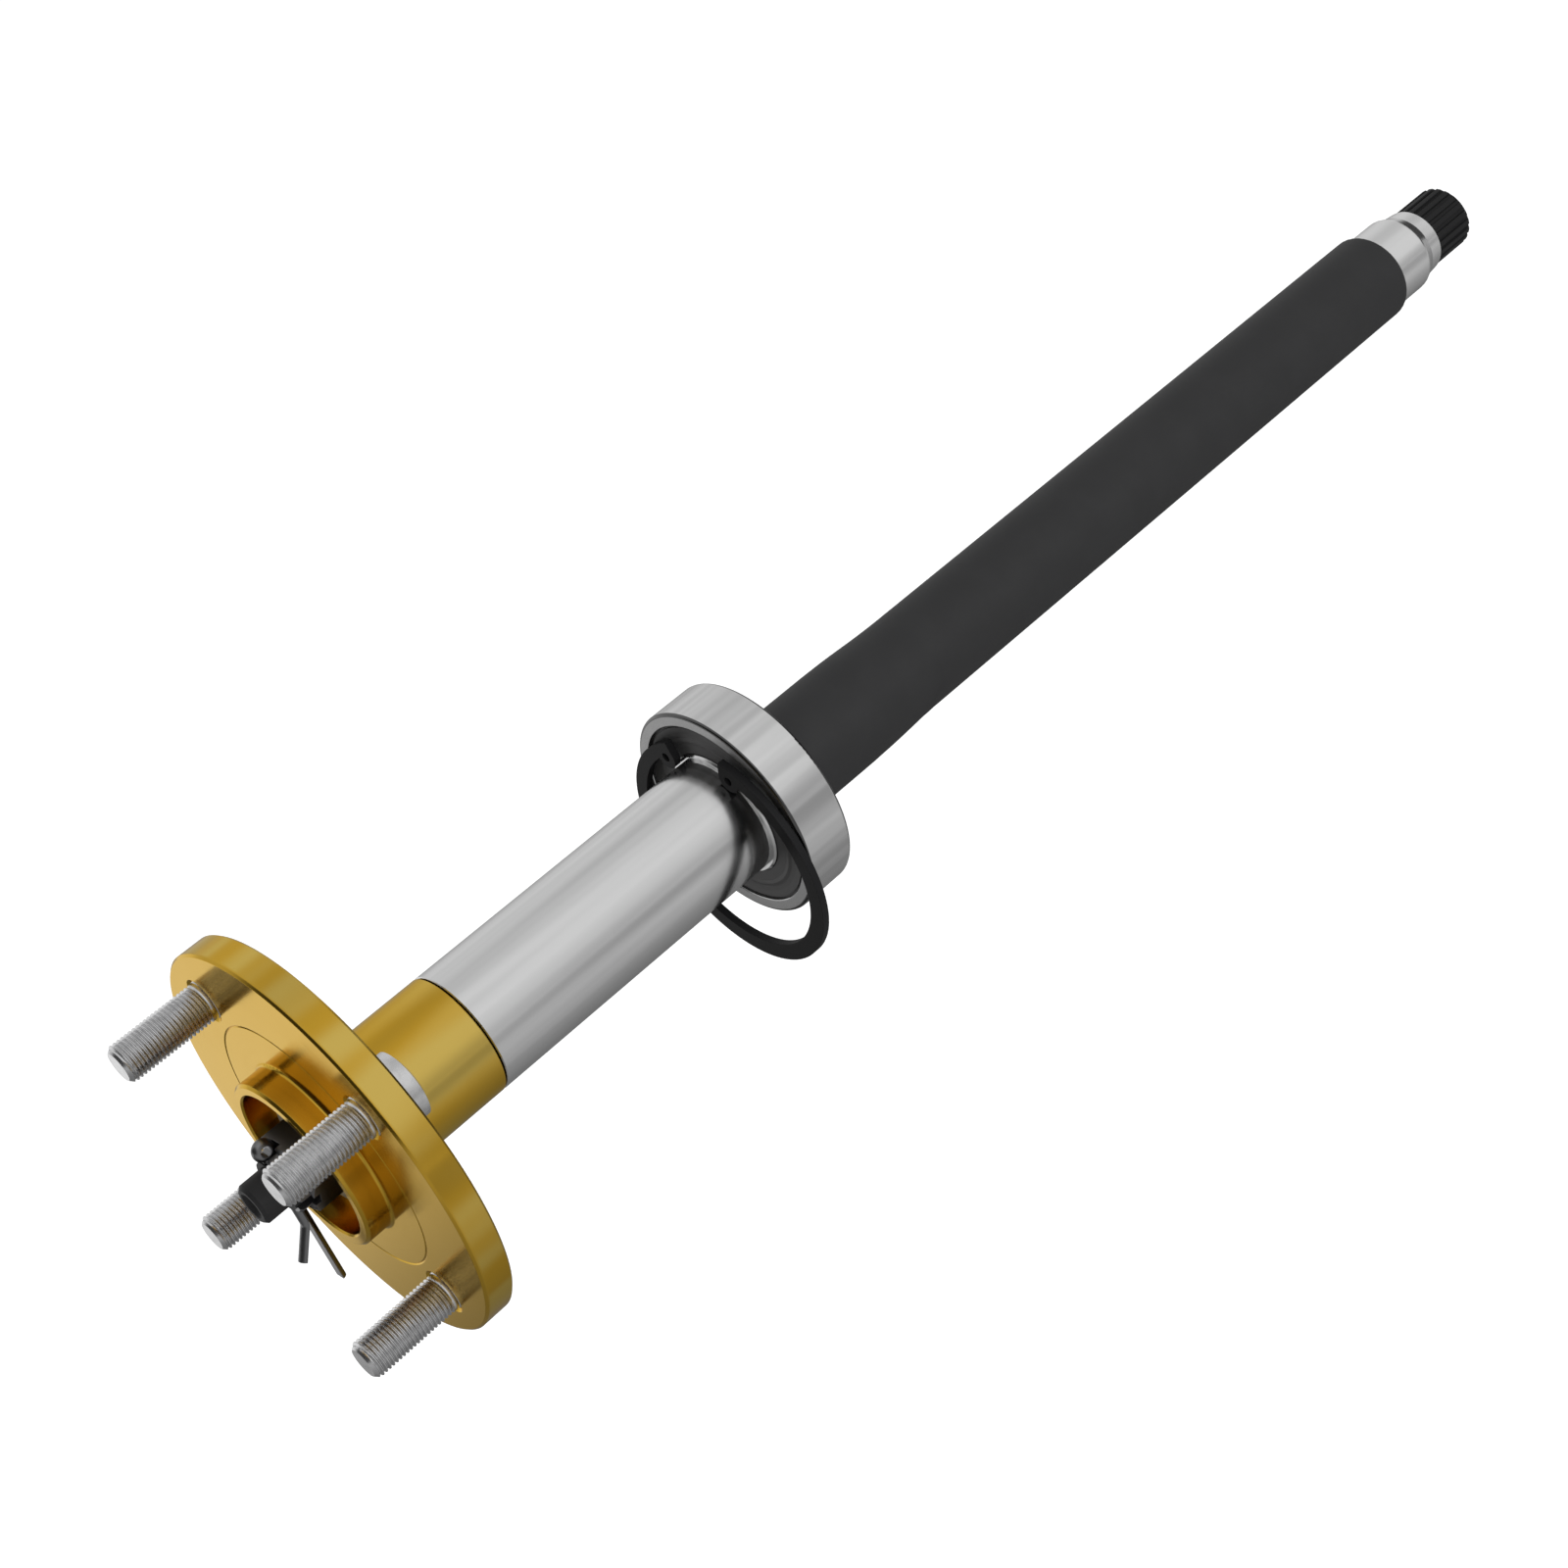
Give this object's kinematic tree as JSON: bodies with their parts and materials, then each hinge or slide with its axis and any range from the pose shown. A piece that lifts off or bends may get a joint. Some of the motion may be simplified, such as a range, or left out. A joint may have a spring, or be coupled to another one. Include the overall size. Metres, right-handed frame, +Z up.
{
  "type": "rear axle shaft assembly",
  "caption": "Rear axle shaft with a keyed wheel hub and its studs, a sealed ball bearing, a loose retaining ring, a castle nut with cotter pin and a splined inner end.",
  "frame": {"origin": "centre of the wheel face of the hub, on the axle line", "axes": "+X along the axle line from the wheel face inboard, +Z up; the axle line is level"},
  "size_m": [0.5566, 0.129, 0.129],
  "materials": {
    "black_shaft": "satin black shaft with ground bright journal and seats",
    "yellow_zinc": "yellow zinc plate on turned steel",
    "grey_zinc": "dull grey zinc",
    "black_oxide": "black oxide",
    "bearing_steel": "ground bright",
    "seal_rubber": "matt",
    "plain_steel": "pressed or drawn"
  },
  "bodies": {
    "bearing_housing_side": {"bearing_outer_ring": "bearing_steel", "bearing_seal_outboard": "seal_rubber", "bearing_seal_inboard": "seal_rubber", "snap_ring": "black_oxide"},
    "axle": {"axle_shaft": "black_shaft", "hub_flange": "yellow_zinc", "hub_key": "plain_steel", "wheel_stud_1": "grey_zinc", "wheel_stud_2": "grey_zinc", "wheel_stud_3": "grey_zinc", "wheel_stud_4": "grey_zinc", "thrust_washer": "black_oxide", "castle_nut": "black_oxide", "cotter_pin": "black_oxide", "bearing_inner_ring": "bearing_steel"},
    "ball_cage": {"cage_half_outboard": "plain_steel", "cage_half_inboard": "plain_steel", "cage_rivets": "plain_steel", "ball_1": "bearing_steel", "ball_2": "bearing_steel", "ball_3": "bearing_steel", "ball_4": "bearing_steel", "ball_5": "bearing_steel", "ball_6": "bearing_steel", "ball_7": "bearing_steel", "ball_8": "bearing_steel", "ball_9": "bearing_steel"}
  },
  "joints": [
    {"name": "axle_spin", "type": "hinge", "parent": "bearing_housing_side", "child": "axle", "pos_m": [0.1625, 0, 0], "axis": [1, 0, 0], "continuous": true},
    {"name": "cage_spin", "type": "hinge", "parent": "bearing_housing_side", "child": "ball_cage", "pos_m": [0.1625, 0, 0], "axis": [1, 0, 0], "continuous": true}
  ],
  "couplings": [
    {"joint": "cage_spin", "follows": "axle_spin", "ratio": 0.3961}
  ]
}
